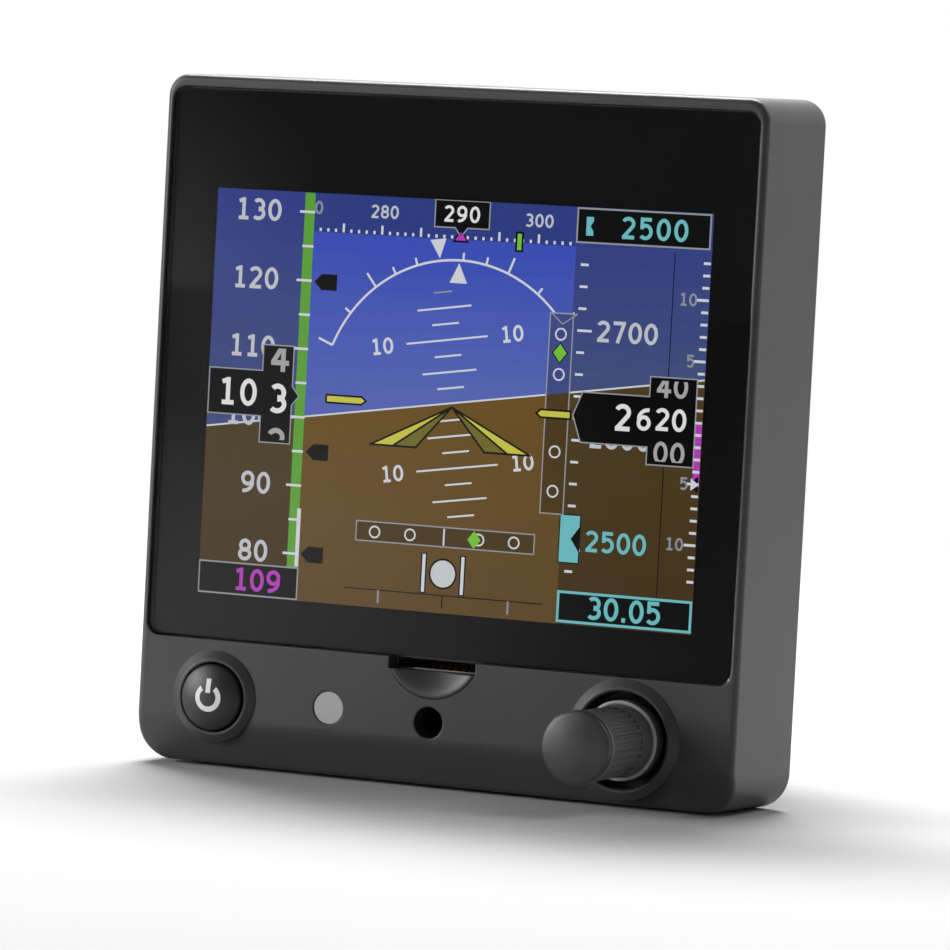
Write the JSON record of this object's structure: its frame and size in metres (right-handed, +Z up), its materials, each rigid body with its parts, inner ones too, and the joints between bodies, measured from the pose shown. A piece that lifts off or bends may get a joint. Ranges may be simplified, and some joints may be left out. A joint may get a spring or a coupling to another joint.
{
  "type": "attitude indicator",
  "caption": "Square panel-mounted electronic attitude indicator: moulded bezel with display, power key, push-and-turn knob, card slot and a finned rear housing with air ports.",
  "frame": {"origin": "centre of the bezel's rear face, which seats on the instrument panel, on the axis of the round register", "axes": "+X to the pilot's right, +Z up, +Y along the register's axis through the panel, away from the pilot"},
  "size_m": [0.0864, 0.0778, 0.0914],
  "materials": {
    "bezel_plastic": "fine matte texture",
    "cover_lens": "polished glass with a satin black border",
    "black_foam": "matte",
    "display_cell": "polarised glass",
    "display_frame": "satin sheet",
    "key_rubber": "matte silicone",
    "black_plastic": "matte",
    "light_guide": "frosted",
    "sensor_black": "gloss",
    "socket_steel": "satin",
    "gold_contact": "gold plated",
    "board_green": "solder mask",
    "black_oxide": "black oxide",
    "nylon": "natural nylon",
    "knob_rubber": "matte",
    "knob_cap_plastic": "satin",
    "steel_shaft": "turned",
    "brass_nickel": "nickel plated",
    "flat_cable": "film",
    "housing_metal": "black powder coat",
    "port_metal": "anodised",
    "silicone_hose": "translucent",
    "plug_steel": "tin plated",
    "cell_wrap": "shrink wrap",
    "battery_plastic": "fine matte texture"
  },
  "bodies": {
    "case": {"bezel": "bezel_plastic", "cover_glass": "cover_lens", "glass_gasket": "black_foam", "display_panel": "display_cell", "display_backlight": "display_frame", "power_switch": "black_plastic", "light_pipe": "light_guide", "light_sensor": "sensor_black", "card_socket": "socket_steel", "card_contacts": "gold_contact", "card_board": "board_green", "encoder": "black_plastic", "encoder_washer": "brass_nickel", "encoder_nut": "brass_nickel", "main_board": "board_green", "board_screws": "black_oxide", "ribbon_connectors": "black_plastic", "ribbon_cable": "flat_cable", "sensor_board": "board_green", "pressure_sensors": "sensor_black", "sensor_hoses": "silicone_hose", "rear_housing": "housing_metal", "rear_seal": "black_foam", "housing_screws": "black_oxide", "pitot_port": "port_metal", "static_port": "port_metal", "antenna_jack": "gold_contact", "plug_shell": "plug_steel", "plug_insulator": "black_plastic", "plug_pins": "gold_contact", "jack_screws": "steel_shaft", "battery_case": "battery_plastic", "battery_cells": "cell_wrap", "battery_cover": "battery_plastic", "battery_screws": "black_oxide"},
    "power_key": {"power_key": "key_rubber", "switch_plunger": "black_plastic"},
    "knob_push": {"knob_plunger": "nylon"},
    "knob": {"knob": "knob_rubber", "knob_cap": "knob_cap_plastic", "encoder_shaft": "steel_shaft"},
    "screw_retainer": {"screw_retainer": "nylon"},
    "captive_screw": {"captive_screw": "black_oxide"}
  },
  "joints": [
    {"name": "power_key_press", "type": "slide", "parent": "case", "child": "power_key", "axis": [0, 1, 0], "range_m": [0, 0.0006], "stiffness_N_per_m": 400, "springref_m": -0.002},
    {"name": "knob_press", "type": "slide", "parent": "case", "child": "knob_push", "axis": [0, 1, 0], "range_m": [0, 0.0005], "stiffness_N_per_m": 800, "springref_m": -0.002},
    {"name": "knob_turn", "type": "hinge", "parent": "knob_push", "child": "knob", "pos_m": [0.0274, 0, -0.0368], "axis": [0, 1, 0], "continuous": true},
    {"name": "screw_travel", "type": "slide", "parent": "case", "child": "screw_retainer", "axis": [0, 1, 0], "range_m": [-0.008, 0]},
    {"name": "screw_turn", "type": "hinge", "parent": "screw_retainer", "child": "captive_screw", "pos_m": [0, 0, -0.037], "axis": [0, 1, 0], "continuous": true}
  ]
}
